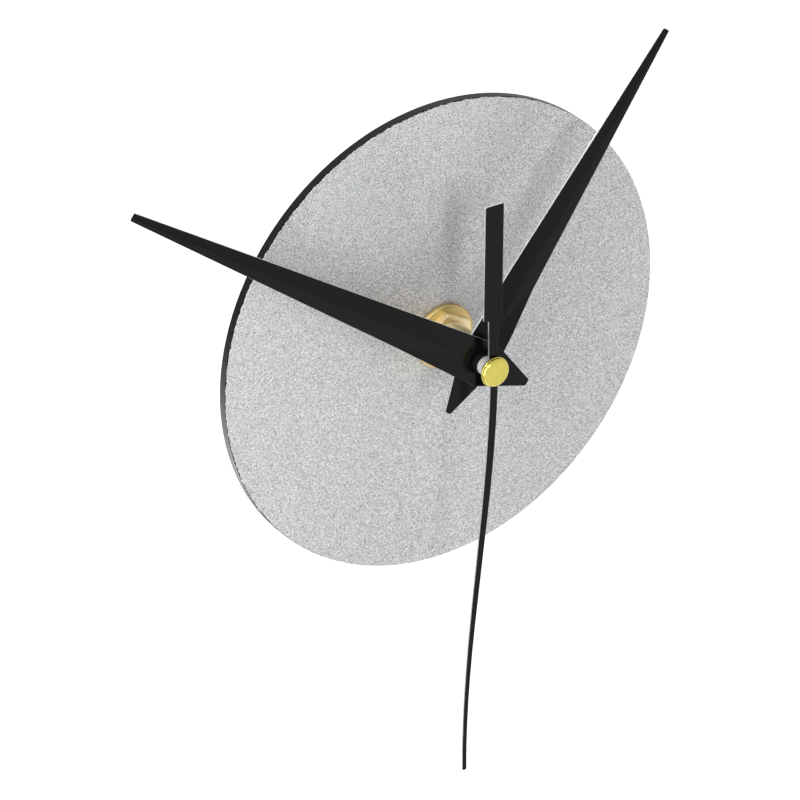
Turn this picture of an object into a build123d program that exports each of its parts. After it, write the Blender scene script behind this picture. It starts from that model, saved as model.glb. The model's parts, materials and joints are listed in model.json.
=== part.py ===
from build123d import *
import math
import os

# A frameless quartz wall clock: a disc on a movement, and three hands longer than the disc.
# Frame: x to the right, z up, the clock faces -y. The origin is where the hand axis meets the wall.
# f is the distance from the wall towards the viewer, so f = -y. All sizes are in millimetres.

# Fits
RUN = 0.07              # radial clearance of a turning tube or arbor
PIVOT_RUN = 0.05        # radial clearance of a small pivot
SLIP = 0.02             # radial clearance of a piece that is pushed on and held
SHAKE = 0.2             # end play of an arbor
PASS = 0.4              # space between layers that move past each other

# Disc
DISC_R = 50.0
BOARD_T = 1.8
FILM_T = 0.25
RUBBER_R = 9.0
RUBBER_T = 1.0
STEM_HOLE_GAP = 0.15    # disc and washers round the stem

# Stem, washer and nut
STEM_R = 4.0
STEM_EDGE = 0.4
STEM_FLANGE_R = 5.5
STEM_FLANGE_T = 1.3
WASHER_R = 6.9
WASHER_T = 1.5
WASHER_EDGE = 0.6
NUT_FLATS = 9.8
NUT_T = 1.7
NUT_EDGE = 0.4
NUT_TURN = 33.0         # where one of its corners comes to rest, counter-clockwise from +x

# Heights above the face of the disc
STEM_HEIGHT = 11.1
HOUR_HEIGHT = 13.0
MINUTE_HEIGHT = 15.5
SECOND_HEIGHT = 18.2

# Hour and minute hands: each half is folded back along a middle crease. Angles run clockwise from twelve.
HAND_T = 0.5
HOUR_LEN = 74.0
HOUR_ROOT_W = 10.2
HOUR_WAIST = 17.0
HOUR_WAIST_W = 7.8
HOUR_TIP_W = 1.6
HOUR_FOLD = 9.0
HOUR_ANGLE = 36.25
MINUTE_LEN = 97.2
MINUTE_ROOT_W = 9.4
MINUTE_WAIST = 22.0
MINUTE_WAIST_W = 7.4
MINUTE_TIP_W = 1.65
MINUTE_FOLD = 6.0
MINUTE_ANGLE = -55.2
CREASE_START = 7.0      # the hub is flat up to here, and the fold is complete at the waist
TAIL_LEN = 12.0
TAIL_TIP_W = 1.4
COLLET_R = 3.6
HOUR_COLLET_T = 1.0
MINUTE_COLLET_T = 1.5

# Second hand: its thin needle is bent to one side in its own plane, in an S
SECOND_T = 0.4
PADDLE_W = 4.25
PADDLE_SHIFT = -0.25    # the paddle stands a little to one side of its neck
PADDLE_LEN = 24.9
NECK_LEN = 11.2
NECK_TOP_W = 2.4
NECK_ROOT_W = 1.9
NEEDLE_LEN = 88.6
NEEDLE_ROOT_W = 1.72
NEEDLE_TIP_W = 0.95
NEEDLE_OFFSET = 0.3     # where the needle's middle leaves the hub
NEEDLE_SHIFT = 5.4      # how far to the left its tip ends
NEEDLE_TIP_LEAN = 1.2   # how far its end leans back to the right
SECOND_ANGLE = 0.6
EYE_R = 2.6
BUTTON_R = 3.12
BUTTON_T = 1.3
BUTTON_EDGE = 0.75
BUTTON_NECK_R = 1.2
BUTTON_TUBE_R = 1.6
BUTTON_TUBE_LEN = 0.4

# Tubes and arbors
HOUR_TUBE_R = 2.68
MINUTE_R = 1.95
SECOND_R = 0.73
ARBOR_R = 0.6
PIVOT_R = 0.5
PIVOT_LEN = 1.3
MINUTE_PROUD = 1.5      # the minute arbor's end stands out of its hand
FLANGE_R = 2.9
FLANGE_T = 0.4

# Teeth: a tooth takes less than half the pitch, so a mesh always has backlash
TOOTH_SHARE = 0.42
ADDENDUM = 0.85
DEDENDUM = 1.15
PRESSURE_ANGLE = 20.0
WHEEL_T = 0.7
PINION_OVER = 0.2       # how far a pinion reaches past the wheel it drives
PINION_MAX_N = 16       # up to this count a flank is drawn with a point at the pitch circle
PORT_COUNT = 4          # round holes in the larger wheels
PORT_R = 1.5

# Tooth counts and modules, driver first
CANNON_N, WORKS_N, CANNON_M = 12, 36, 0.4
LANTERN_N, HOUR_N = 10, 40
KNOB_N = 10
CENTRE_N, THIRD_PINION_N, CENTRE_M = 64, 8, 0.26
THIRD_N, SECOND_PINION_N = 60, 8
SECOND_N, STEP_PINION_N, SECOND_M = 40, 8, 0.4
STEP_N, ROTOR_PINION_N, STEP_M = 48, 8, 0.25

# Directions between the axes, counter-clockwise from +x as seen from the front
WORKS_DIR = 195.0
KNOB_DIR = 180.0
THIRD_DIR = 135.0
STEP_DIR = 45.0
ROTOR_DIR = 35.0

# Battery, an ordinary AA cell: it sets the width and depth of the case, and the works above it the height
CELL_R = 7.25
CELL_LEN = 50.5
CELL_EDGE = 0.5
CELL_TIP_R = 2.6
CELL_TIP_LEN = 1.3
CELL_BACK = 0.7
CELL_ROOM = 0.2
CRADLE_T = 1.0
CRADLE_X = 14.0
CONTACT_T = 0.4
CONTACT_W = 6.4
CONTACT_CONE_R = 2.2
CONTACT_CONE_LEN = 1.7
TAB_LEN = 3.5
TAB_W = 4.0

# Case: its shoulders are round, so that the disc hides it from the side and from above
CASE_WALL = 1.5
CASE_FRONT_T = 1.3
CASE_INNER_TOP_R = 14.5
CASE_INNER_CORNER_R = 1.5
CASE_EDGE_R = 0.8
COVER_T = 1.5
BOSS_R = 1.4
BOSS_H = 0.5
PARTITION_T = 0.8
PLATE_T = 1.0
PLATE_GAP = 1.0
POST_R = 1.7
POST_INSET = 3.5
PEG_R = 1.2
PEG_H = 1.1
SCREW_R = 0.75
SCREW_BITE = 4.6
SCREW_HEAD_R = 1.5
SCREW_HEAD_T = 0.7
SCREW_SUNK = 0.2
SCREW_SLOT_W = 0.4

# Hanger
HANGER_T = 1.0
HANGER_W = 12.0
HANGER_RISE = 11.0
HANGER_FOOT = 3.0
HANGER_HOLE_R = 2.5

# Setting knob
KNOB_R = 4.0
KNOB_T = 2.0
KNOB_SUNK = 0.4
KNOB_RIBS = 24
KNOB_SHAFT_R = 1.25
CUP_WALL = 0.6

# Motor and circuit
MAGNET_R = 2.6
MAGNET_OVER = 0.3
STATOR_T = 0.8
STATOR_GAP = 0.5
STATOR_RIM = 1.6
STATOR_ARM_W = 3.0
STATOR_LOW = -6.0
COIL_GAP = 0.3
COIL_END_GAP = 2.0
CORE_W = 2.4
BOBBIN_WALL = 0.4
BOBBIN_FLANGE_T = 0.8
BOBBIN_W = 5.6
BOBBIN_D = 4.4
WINDING_INSET = 0.35
WINDING_EDGE = 1.0
BOARD_W = 18.0
BOARD_H = 6.0
BOARD_INSET = 1.5
CIRCUIT_T = 1.0
CHIP_R = 2.2
CHIP_T = 0.9
CHIP_EDGE = 0.7
CRYSTAL_R = 1.0
CRYSTAL_LEN = 6.0


def polar(origin, dist, deg):
    angle = math.radians(deg)
    return (origin[0] + dist * math.cos(angle), origin[1] + dist * math.sin(angle))


def centre_distance(n_a, n_b, module):
    return (n_a + n_b) * module / 2


def tip_radius(n, module):
    return (n / 2 + ADDENDUM) * module


# Axes of the train, as (x, z). The lantern and third pairs share a distance, which sets their modules.
works_dist = centre_distance(CANNON_N, WORKS_N, CANNON_M)
third_dist = centre_distance(CENTRE_N, THIRD_PINION_N, CENTRE_M)
hour_m = 2 * works_dist / (LANTERN_N + HOUR_N)
third_m = 2 * third_dist / (THIRD_N + SECOND_PINION_N)
axis_c = (0.0, 0.0)
axis_works = polar(axis_c, works_dist, WORKS_DIR)
axis_knob = polar(axis_works, centre_distance(WORKS_N, KNOB_N, CANNON_M), KNOB_DIR)
axis_third = polar(axis_c, third_dist, THIRD_DIR)
axis_step = polar(axis_c, centre_distance(SECOND_N, STEP_PINION_N, SECOND_M), STEP_DIR)
axis_rotor = polar(axis_step, centre_distance(STEP_N, ROTOR_PINION_N, STEP_M), ROTOR_DIR)

# The case is built round the cell, which lies below the motion works, and the circuit above the third wheel
inner = (CELL_LEN + CONTACT_CONE_LEN + 2 * CONTACT_T) / 2
front_in = CELL_BACK + 2 * CELL_R
case_front = front_in + CASE_FRONT_T
partition_top = axis_works[1] - tip_radius(WORKS_N, CANNON_M) - PASS
partition_low = partition_top - PARTITION_T
cell_z = partition_low - CELL_ROOM - CELL_R
inner_low = cell_z - CELL_R - CELL_ROOM
board_low = axis_third[1] + tip_radius(THIRD_N, third_m) + PASS
inner_top = board_low + BOARD_H + BOARD_INSET
outer_top = inner_top + CASE_WALL
shoulder_x = inner - CASE_INNER_TOP_R
shoulder_z = inner_top - CASE_INNER_TOP_R
post_top = polar((shoulder_x, shoulder_z), CASE_INNER_TOP_R - CONTACT_T - CELL_ROOM - POST_R, 45)
post_low = (inner - POST_INSET, partition_top + POST_R + CELL_ROOM)
posts = [(side * x, z) for x, z in (post_top, post_low) for side in (-1, 1)]

# Layers of the movement from the rear cover to the front, as (rear f, front f)
boss_top = COVER_T + BOSS_H
shoulder = boss_top + SHAKE
layer_second = (shoulder, shoulder + WHEEL_T)
layer_third = (layer_second[1] + PASS, layer_second[1] + PASS + WHEEL_T)
layer_step = (layer_third[1] + PASS, layer_third[1] + PASS + WHEEL_T)
minute_rear = layer_step[1] + PASS
layer_centre = (minute_rear + FLANGE_T, minute_rear + FLANGE_T + WHEEL_T)
layer_spring = (layer_centre[1], layer_centre[1] + FLANGE_T)
plate_f = (layer_spring[1] + PASS, layer_spring[1] + PASS + PLATE_T)
layer_works = (plate_f[1] + PASS + PINION_OVER, plate_f[1] + PASS + PINION_OVER + WHEEL_T)
layer_hour = (layer_works[1] + 2 * PASS, layer_works[1] + 2 * PASS + WHEEL_T)
stem_rear = front_in - STEM_FLANGE_T
face = case_front + RUBBER_T + BOARD_T + FILM_T
hour_f = face + HOUR_HEIGHT
minute_f = face + MINUTE_HEIGHT
second_f = face + SECOND_HEIGHT


def prism(sketch, rear, front):
    return extrude(Plane.XZ.offset(rear) * sketch, amount=front - rear, dir=(0, -1, 0))


def rod(r, rear, front, at=(0.0, 0.0)):
    return prism(Pos(*at) * Circle(r), rear, front)


def ring(r_out, r_in, rear, front, at=(0.0, 0.0)):
    return prism(Pos(*at) * (Circle(r_out) - Circle(r_in)), rear, front)


def slab(x0, x1, z0, z1, rear, front):
    return prism(Pos((x0 + x1) / 2, (z0 + z1) / 2) * Rectangle(x1 - x0, z1 - z0), rear, front)


def case_box(inset, rear, front):
    # The outline of the case's room, drawn in by an inset, or let out to the walls by a negative one
    width = 2 * (inner - inset)
    height = inner_top - inner_low - 2 * inset
    outline = Pos(0, (inner_top + inner_low) / 2) * Rectangle(width, height)
    outline = fillet(outline.vertices().group_by(Axis.Y)[-1], CASE_INNER_TOP_R - inset)
    outline = fillet(outline.vertices().group_by(Axis.Y)[0], CASE_INNER_CORNER_R - inset)
    return prism(outline, rear, front)


def turned(profile, at=(0.0, 0.0)):
    # A turned piece from its outline, a closed list of (radius, f)
    outline = Polygon(*[(r, -f) for r, f in profile], align=None)
    return Pos(at[0], 0, at[1]) * revolve(outline, Axis.Y)


def front_edges(shape):
    return shape.edges().group_by(Axis.Y)[0]


def widen(layer):
    return (layer[0] - PINION_OVER, layer[1] + PINION_OVER)


# Teeth

def tooth_half(n, module, r):
    # Half the angle of a tooth at radius r: an involute outside the base circle, radial inside it
    pressure = math.radians(PRESSURE_ANGLE)
    base = n * module / 2 * math.cos(pressure)
    half = TOOTH_SHARE * math.pi / n + math.tan(pressure) - pressure
    if r <= base:
        return half
    roll = math.acos(base / r)
    return half - math.tan(roll) + roll


def gear(n, module, turn, layer, at):
    pitch = n * module / 2
    root = pitch - DEDENDUM * module
    tip = tip_radius(n, module)
    radii = [root, pitch, tip] if n <= PINION_MAX_N else [root, tip]
    flank = [(r, tooth_half(n, module, r)) for r in radii]
    points = []
    for k in range(n):
        middle = math.radians(turn) + 2 * math.pi * k / n
        for r, half in flank:
            points.append((r * math.cos(middle - half), r * math.sin(middle - half)))
        for r, half in reversed(flank):
            points.append((r * math.cos(middle + half), r * math.sin(middle + half)))
    return prism(Pos(*at) * Polygon(*points, align=None), *layer)


def ports(r, layer, at):
    # The round holes through a wheel's web
    holes = Sketch() + [where * Circle(PORT_R) for where in PolarLocations(r, PORT_COUNT)]
    return prism(Pos(*at) * holes, *layer)


def mesh_turn(turn, n, n_mate, direction):
    # Turn of a mate that lies in this direction, so that its gap takes this wheel's tooth
    phase = (direction - turn) * n / 360
    return direction + 180 - (0.5 - phase) * 360 / n_mate


turn_works = mesh_turn(0, CANNON_N, WORKS_N, WORKS_DIR)
turn_knob = mesh_turn(turn_works, WORKS_N, KNOB_N, KNOB_DIR)
turn_hour = mesh_turn(0, LANTERN_N, HOUR_N, WORKS_DIR + 180)
turn_third_pinion = mesh_turn(0, CENTRE_N, THIRD_PINION_N, THIRD_DIR)
turn_second_pinion = mesh_turn(0, THIRD_N, SECOND_PINION_N, THIRD_DIR + 180)
turn_step_pinion = mesh_turn(0, SECOND_N, STEP_PINION_N, STEP_DIR)
turn_rotor_pinion = mesh_turn(0, STEP_N, ROTOR_PINION_N, ROTOR_DIR)


# Disc and the pieces that clamp it to the movement

stem_hole_r = STEM_R + STEM_HOLE_GAP
board_f = case_front + RUBBER_T
film_f = board_f + BOARD_T
nut_rear = face + WASHER_T
nut_front = nut_rear + NUT_T
stem_front = face + STEM_HEIGHT
rubber_washer = ring(RUBBER_R, stem_hole_r, case_front, board_f)
dial_board = ring(DISC_R, stem_hole_r, board_f, film_f)
dial_film = ring(DISC_R, stem_hole_r, film_f, face)
brass_washer = ring(WASHER_R, stem_hole_r, face, nut_rear)
washer_rims = brass_washer.edges().filter_by(GeomType.CIRCLE).sort_by(SortBy.RADIUS)[-2:]
brass_washer = fillet(washer_rims, WASHER_EDGE)

nut_corner = NUT_FLATS / math.sqrt(3)
nut_turned = turned([(STEM_R + SLIP, nut_rear), (nut_corner, nut_rear), (nut_corner, nut_front - NUT_EDGE),
                     (nut_corner - NUT_EDGE, nut_front), (STEM_R + SLIP, nut_front)])
hex_nut = nut_turned & prism(Rot(0, 0, NUT_TURN) * RegularPolygon(nut_corner, 6), nut_rear, nut_front)

stem_bore = HOUR_TUBE_R + RUN
threaded_stem = turned([(stem_bore, stem_rear), (STEM_FLANGE_R, stem_rear), (STEM_FLANGE_R, front_in),
                        (STEM_R, front_in), (STEM_R, stem_front - STEM_EDGE),
                        (STEM_R - STEM_EDGE, stem_front), (stem_bore, stem_front)])


# Hands

def folded_hand(length, root_w, waist, waist_w, tip_w, fold, hole_r, front, angle):
    # A stamped blade, flat at the hub, with a short tapered tail; its thickness is laid out along z
    drop = math.tan(math.radians(fold))
    flat_w = root_w + (waist_w - root_w) * CREASE_START / waist
    stations = [(-TAIL_LEN, TAIL_TIP_W, 0.0), (0.0, root_w, 0.0), (CREASE_START, flat_w, 0.0),
                (waist, waist_w, drop), (length, tip_w, drop)]
    faces = []
    rims = []
    for level in (HAND_T, 0.0):
        spine = [Vector(s, 0, level) for s, _, _ in stations[2:]]
        edges = []
        for side in (-1, 1):
            edges.append([Vector(s, side * w / 2, level - slope * w / 2) for s, w, slope in stations])
        faces.append((*edges[0][:3], spine[0], *reversed(edges[1][:3])))
        for edge in edges:
            faces.append((spine[0], edge[2], edge[3]))
            faces.append((spine[0], edge[3], spine[1]))
            faces.append((spine[1], edge[3], edge[4], spine[2]))
        rims.append((*edges[0], spine[2], *reversed(edges[1])))
    upper, lower = rims
    for i in range(len(upper)):
        faces.append((upper[i - 1], upper[i], lower[i], lower[i - 1]))
    blade = Solid(Shell([Face(Wire.make_polygon(corners)) for corners in faces]))
    blade = blade - extrude(Circle(hole_r), amount=HAND_T, dir=(0, 0, 1))
    along = math.radians(angle)
    where = Plane((0, HAND_T - front, 0), x_dir=(math.sin(along), 0, math.cos(along)), z_dir=(0, -1, 0))
    return where * blade


hour_hand = folded_hand(HOUR_LEN, HOUR_ROOT_W, HOUR_WAIST, HOUR_WAIST_W, HOUR_TIP_W, HOUR_FOLD,
                        HOUR_TUBE_R + SLIP, hour_f, HOUR_ANGLE)
minute_hand = folded_hand(MINUTE_LEN, MINUTE_ROOT_W, MINUTE_WAIST, MINUTE_WAIST_W, MINUTE_TIP_W, MINUTE_FOLD,
                          MINUTE_R + SLIP, minute_f, MINUTE_ANGLE)
hour_collet = ring(COLLET_R, HOUR_TUBE_R + SLIP, hour_f - HAND_T - HOUR_COLLET_T, hour_f - HAND_T)
minute_collet = ring(COLLET_R, MINUTE_R + SLIP, minute_f - HAND_T - MINUTE_COLLET_T, minute_f - HAND_T)

# The needle's sides are two S curves, from the hub to the tip
needle_end = (-NEEDLE_SHIFT, -NEEDLE_LEN)
tip_lean = math.radians(NEEDLE_TIP_LEAN)
needle_tip_way = (math.sin(tip_lean), -math.cos(tip_lean))
needle_sides = []
for side in (-1, 1):
    root_at = (NEEDLE_OFFSET + side * NEEDLE_ROOT_W / 2, 0)
    tip_at = (needle_end[0] + side * NEEDLE_TIP_W / 2, needle_end[1])
    needle_sides.append(Spline(root_at, tip_at, tangents=[(0, -1), needle_tip_way]))
needle_root = Line(needle_sides[0] @ 0, needle_sides[1] @ 0)
needle_tip = Line(needle_sides[0] @ 1, needle_sides[1] @ 1)
needle = make_face([*needle_sides, needle_root, needle_tip])
neck = Polygon((-NECK_ROOT_W / 2, 0), (NECK_ROOT_W / 2, 0), (NECK_TOP_W / 2, NECK_LEN),
               (-NECK_TOP_W / 2, NECK_LEN), align=None)
paddle = Pos(PADDLE_SHIFT, NECK_LEN + PADDLE_LEN / 2) * Rectangle(PADDLE_W, PADDLE_LEN)
second_rear = second_f - SECOND_T
eye_middle_r = (EYE_R + BUTTON_NECK_R) / 2
second_hand = prism(neck + paddle + Circle(EYE_R) - Circle(BUTTON_NECK_R + SLIP), second_rear, second_f)
second_hand = second_hand + prism(needle - Circle(eye_middle_r), second_rear, second_f)
second_hand = Rot(0, SECOND_ANGLE, 0) * second_hand

# The brass button: a tube behind the hand that grips the arbor, a neck through the hand and a rounded head
button_front = second_f + BUTTON_T
button_bore = SECOND_R + SLIP
second_button = turned([(0, second_f), (button_bore, second_f), (button_bore, second_rear - BUTTON_TUBE_LEN),
                        (BUTTON_TUBE_R, second_rear - BUTTON_TUBE_LEN), (BUTTON_TUBE_R, second_rear),
                        (BUTTON_NECK_R, second_rear), (BUTTON_NECK_R, second_f), (BUTTON_R, second_f),
                        (BUTTON_R, button_front), (0, button_front)])
second_button = fillet(front_edges(second_button), BUTTON_EDGE)


# Motion works: they turn the hour hand from the minute arbor

minute_front = minute_f + MINUTE_PROUD
minute_bore = SECOND_R + RUN
cannon_f = widen(layer_works)
minute_arbor = turned([(minute_bore, minute_rear), (FLANGE_R, minute_rear), (FLANGE_R, layer_centre[0]),
                       (MINUTE_R, layer_centre[0]), (MINUTE_R, minute_front), (minute_bore, minute_front)])
cannon_pinion = gear(CANNON_N, CANNON_M, 0, cannon_f, axis_c) - rod(minute_bore, *cannon_f)
minute_arbor = minute_arbor + cannon_pinion
lantern_f = (layer_works[1], layer_hour[1] + PINION_OVER)
works_boss_rear = lantern_f[1] + PASS
works_pivot_front = works_boss_rear + PIVOT_LEN
works_pivot_rear = plate_f[0] + SHAKE
works_shoulders = (plate_f[1] + SHAKE, works_boss_rear - SHAKE)
minute_works_wheel = turned([(0, works_pivot_rear), (PIVOT_R, works_pivot_rear),
                             (PIVOT_R, works_shoulders[0]), (ARBOR_R, works_shoulders[0]),
                             (ARBOR_R, works_shoulders[1]),
                             (PIVOT_R, works_shoulders[1]), (PIVOT_R, works_pivot_front),
                             (0, works_pivot_front)], axis_works)
minute_works_wheel = minute_works_wheel + gear(WORKS_N, CANNON_M, turn_works, layer_works, axis_works)
minute_works_wheel = minute_works_wheel + gear(LANTERN_N, hour_m, 0, lantern_f, axis_works)
minute_works_wheel = minute_works_wheel - ports(works_dist / 2, layer_works, axis_works)
hour_tube_rear = layer_hour[0] - PASS
hour_wheel = ring(HOUR_TUBE_R, MINUTE_R + RUN, hour_tube_rear, hour_f)
hour_web = gear(HOUR_N, hour_m, turn_hour, layer_hour, axis_c) - rod(MINUTE_R + RUN, *layer_hour)
hour_wheel = hour_wheel + (hour_web - ports(works_dist / 2, layer_hour, axis_c))


# Going train: from the rotor to the minute arbor

pivot_rear = boss_top - PIVOT_LEN
plate_pivot_front = plate_f[1] - SHAKE


def arbor(at):
    return turned([(0, pivot_rear), (PIVOT_R, pivot_rear), (PIVOT_R, shoulder), (ARBOR_R, shoulder),
                   (ARBOR_R, plate_f[0] - SHAKE), (PIVOT_R, plate_f[0] - SHAKE), (PIVOT_R, plate_pivot_front),
                   (0, plate_pivot_front)], at)


centre_wheel = gear(CENTRE_N, CENTRE_M, 0, layer_centre, axis_c) - rod(MINUTE_R + SLIP, *layer_centre)
centre_wheel = centre_wheel - ports(third_dist / 2, layer_centre, axis_c)
clutch_spring = ring(2 * MINUTE_R, MINUTE_R + SLIP, *layer_spring)
second_pinion_f = (layer_second[1], layer_third[1] + PINION_OVER)
second_wheel = turned([(0, pivot_rear), (PIVOT_R, pivot_rear), (PIVOT_R, shoulder), (SECOND_R, shoulder),
                       (SECOND_R, second_f), (0, second_f)])
second_wheel = second_wheel + gear(SECOND_N, SECOND_M, 0, layer_second, axis_c)
second_wheel = second_wheel + gear(SECOND_PINION_N, third_m, turn_second_pinion, second_pinion_f, axis_c)
second_wheel = second_wheel - ports(third_dist / 2, layer_second, axis_c)
third_wheel = arbor(axis_third) + gear(THIRD_N, third_m, 0, layer_third, axis_third)
third_wheel = third_wheel + gear(THIRD_PINION_N, CENTRE_M, turn_third_pinion, widen(layer_centre), axis_third)
third_wheel = third_wheel - ports(third_dist / 2, layer_third, axis_third)
step_pinion_f = (layer_second[0], layer_second[1] + PINION_OVER)
step_wheel = arbor(axis_step) + gear(STEP_N, STEP_M, 0, layer_step, axis_step)
step_wheel = step_wheel + gear(STEP_PINION_N, SECOND_M, turn_step_pinion, step_pinion_f, axis_step)
rotor_pinion = arbor(axis_rotor)
rotor_pinion = rotor_pinion + gear(ROTOR_PINION_N, STEP_M, turn_rotor_pinion, widen(layer_step), axis_rotor)


# Motor: a magnet that steps half a turn between the poles of a coil's stator

stator_f = (COVER_T + PEG_H, COVER_T + PEG_H + STATOR_T)
core_f = (stator_f[1], stator_f[1] + STATOR_T)
magnet_f = (stator_f[0] - MAGNET_OVER, stator_f[1] + MAGNET_OVER)
rotor_magnet = ring(MAGNET_R, ARBOR_R + SLIP, *magnet_f, axis_rotor)
stator_hole_r = MAGNET_R + STATOR_GAP
coil_x = axis_rotor[0] + stator_hole_r + STATOR_RIM + COIL_GAP + BOBBIN_W / 2
stator_top = post_top[1] - POST_R - PASS
coil_low = STATOR_LOW + STATOR_ARM_W + COIL_END_GAP
coil_top = stator_top - STATOR_ARM_W - COIL_END_GAP
arm_x = (axis_rotor[0] - STATOR_ARM_W, coil_x + CORE_W)
stator = slab(arm_x[0], axis_rotor[0] + STATOR_ARM_W, STATOR_LOW, stator_top, *stator_f)
for low in (STATOR_LOW, stator_top - STATOR_ARM_W):
    stator = stator + slab(*arm_x, low, low + STATOR_ARM_W, *stator_f)
stator = stator + rod(stator_hole_r + STATOR_RIM, *stator_f, axis_rotor)
stator = stator - rod(stator_hole_r, *stator_f, axis_rotor)


def around_core(width, depth, low, top):
    middle = (core_f[0] + core_f[1]) / 2
    return slab(coil_x - width / 2, coil_x + width / 2, low, top, middle - depth / 2, middle + depth / 2)


coil_core = around_core(CORE_W, STATOR_T, STATOR_LOW, stator_top)
tube_w = CORE_W + 2 * BOBBIN_WALL
tube_d = STATOR_T + 2 * BOBBIN_WALL
coil_bobbin = around_core(tube_w, tube_d, coil_low, coil_top)
for low in (coil_low, coil_top - BOBBIN_FLANGE_T):
    coil_bobbin = coil_bobbin + around_core(BOBBIN_W, BOBBIN_D, low, low + BOBBIN_FLANGE_T)
coil_bobbin = coil_bobbin - around_core(CORE_W, STATOR_T, coil_low, coil_top)
wind_low = coil_low + BOBBIN_FLANGE_T
wind_top = coil_top - BOBBIN_FLANGE_T
coil_winding = around_core(BOBBIN_W - 2 * WINDING_INSET, BOBBIN_D - 2 * WINDING_INSET, wind_low, wind_top)
coil_winding = fillet(coil_winding.edges().filter_by(Axis.Z), WINDING_EDGE)
coil_winding = coil_winding - around_core(tube_w, tube_d, wind_low, wind_top)


# Circuit and battery

circuit_f = (COVER_T + PEG_H, COVER_T + PEG_H + CIRCUIT_T)
shoulder_run = math.sqrt(CASE_INNER_TOP_R ** 2 - (CASE_INNER_TOP_R - BOARD_INSET) ** 2)
board_left = PASS - shoulder_x - shoulder_run
board_x = (board_left, board_left + BOARD_W)
board_z = (board_low, board_low + BOARD_H)
minus_tab_x = (board_x[0] + CONTACT_T, board_x[0] + CONTACT_T + TAB_W)
plus_tab_x = (board_x[1] - CONTACT_T - TAB_W, board_x[1] - CONTACT_T)
circuit_board = slab(*board_x, *board_z, *circuit_f)
chip_at = (plus_tab_x[0] - PASS - CHIP_R, board_z[0] + CHIP_R)
chip = rod(CHIP_R, circuit_f[1], circuit_f[1] + CHIP_T, chip_at)
chip = fillet(front_edges(chip), CHIP_EDGE)
crystal_at = (board_x[0] + CRYSTAL_R, -circuit_f[1] - CRYSTAL_R, board_z[0] + 2 * CRYSTAL_R)
crystal = extrude(Plane(crystal_at, x_dir=(0, 1, 0), z_dir=(1, 0, 0)) * Circle(CRYSTAL_R), amount=CRYSTAL_LEN)

cell_right = inner - CONTACT_T
cell_left = cell_right - CELL_LEN
cell_y = CELL_R - front_in


def along_x(x):
    return Plane((x, cell_y, cell_z), x_dir=(0, 1, 0), z_dir=(1, 0, 0))


battery = extrude(along_x(cell_left) * Circle(CELL_R), amount=CELL_LEN - CELL_TIP_LEN)
battery = fillet(battery.edges().filter_by(GeomType.CIRCLE), CELL_EDGE)
battery = battery + extrude(along_x(cell_left) * Circle(CELL_TIP_R), amount=CELL_LEN)

strip_f = (circuit_f[1], circuit_f[1] + CONTACT_W)
tab_f = (circuit_f[1], circuit_f[1] + CONTACT_T)
strip_low = inner_low + CASE_INNER_CORNER_R + CELL_ROOM
strip_in = inner - CONTACT_T
tab_low = inner_top - TAB_LEN
wall_strip = case_box(0, *strip_f) - case_box(CONTACT_T, *strip_f)
side_run = slab(0, inner, strip_low, tab_low, *strip_f)
top_run = slab(plus_tab_x[0], inner, tab_low, inner_top, *strip_f)
contact_plus = wall_strip & (side_run + top_run)
contact_plus = contact_plus + slab(*plus_tab_x, tab_low, inner_top, *tab_f)
contact_minus = wall_strip & slab(-inner, minus_tab_x[1], strip_low, inner_top, *strip_f)
contact_minus = contact_minus + (slab(*minus_tab_x, tab_low, inner_top, *tab_f) & case_box(0, *tab_f))
contact_cone = Cone(CONTACT_CONE_R, CONTACT_CONE_R / 2, CONTACT_CONE_LEN)
contact_minus = contact_minus + along_x(CONTACT_CONE_LEN / 2 - strip_in) * contact_cone


# Case

front_case = case_box(-CASE_WALL, COVER_T, case_front)
front_case = fillet(front_edges(front_case), CASE_EDGE_R)
front_case = front_case - case_box(0, COVER_T, front_in)
front_case = front_case - rod(STEM_R + SLIP, front_in, case_front)
partition_x = strip_in - CELL_ROOM
front_case = front_case + slab(-partition_x, partition_x, partition_low, partition_top, COVER_T, front_in)
cell_room = extrude(along_x(-inner) * Circle(CELL_R + CELL_ROOM), amount=2 * inner)
for x in (-CRADLE_X, CRADLE_X):
    rib = slab(x - CRADLE_T / 2, x + CRADLE_T / 2, inner_low, partition_low, -cell_y, front_in)
    front_case = front_case + (rib - cell_room)
front_case = front_case + rod(BOSS_R, works_boss_rear, front_in, axis_works)
front_case = front_case - rod(PIVOT_R + PIVOT_RUN, works_boss_rear, works_pivot_front + SHAKE, axis_works)
hanger_f = (COVER_T, COVER_T + HANGER_T)
hanger_half = HANGER_W / 2
slot_half = hanger_half + SLIP
front_case = front_case - slab(-slot_half, slot_half, inner_top - PASS, outer_top, *hanger_f)

plate_low = partition_top + CELL_ROOM
middle_plate = case_box(PLATE_GAP, *plate_f) & slab(-inner, inner, plate_low, inner_top, *plate_f)
for at in (axis_third, axis_step, axis_rotor, axis_works):
    middle_plate = middle_plate - rod(PIVOT_R + PIVOT_RUN, *plate_f, at)
middle_plate = middle_plate - rod(MINUTE_R + RUN, *plate_f) - rod(KNOB_SHAFT_R + RUN, *plate_f, axis_knob)

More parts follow.
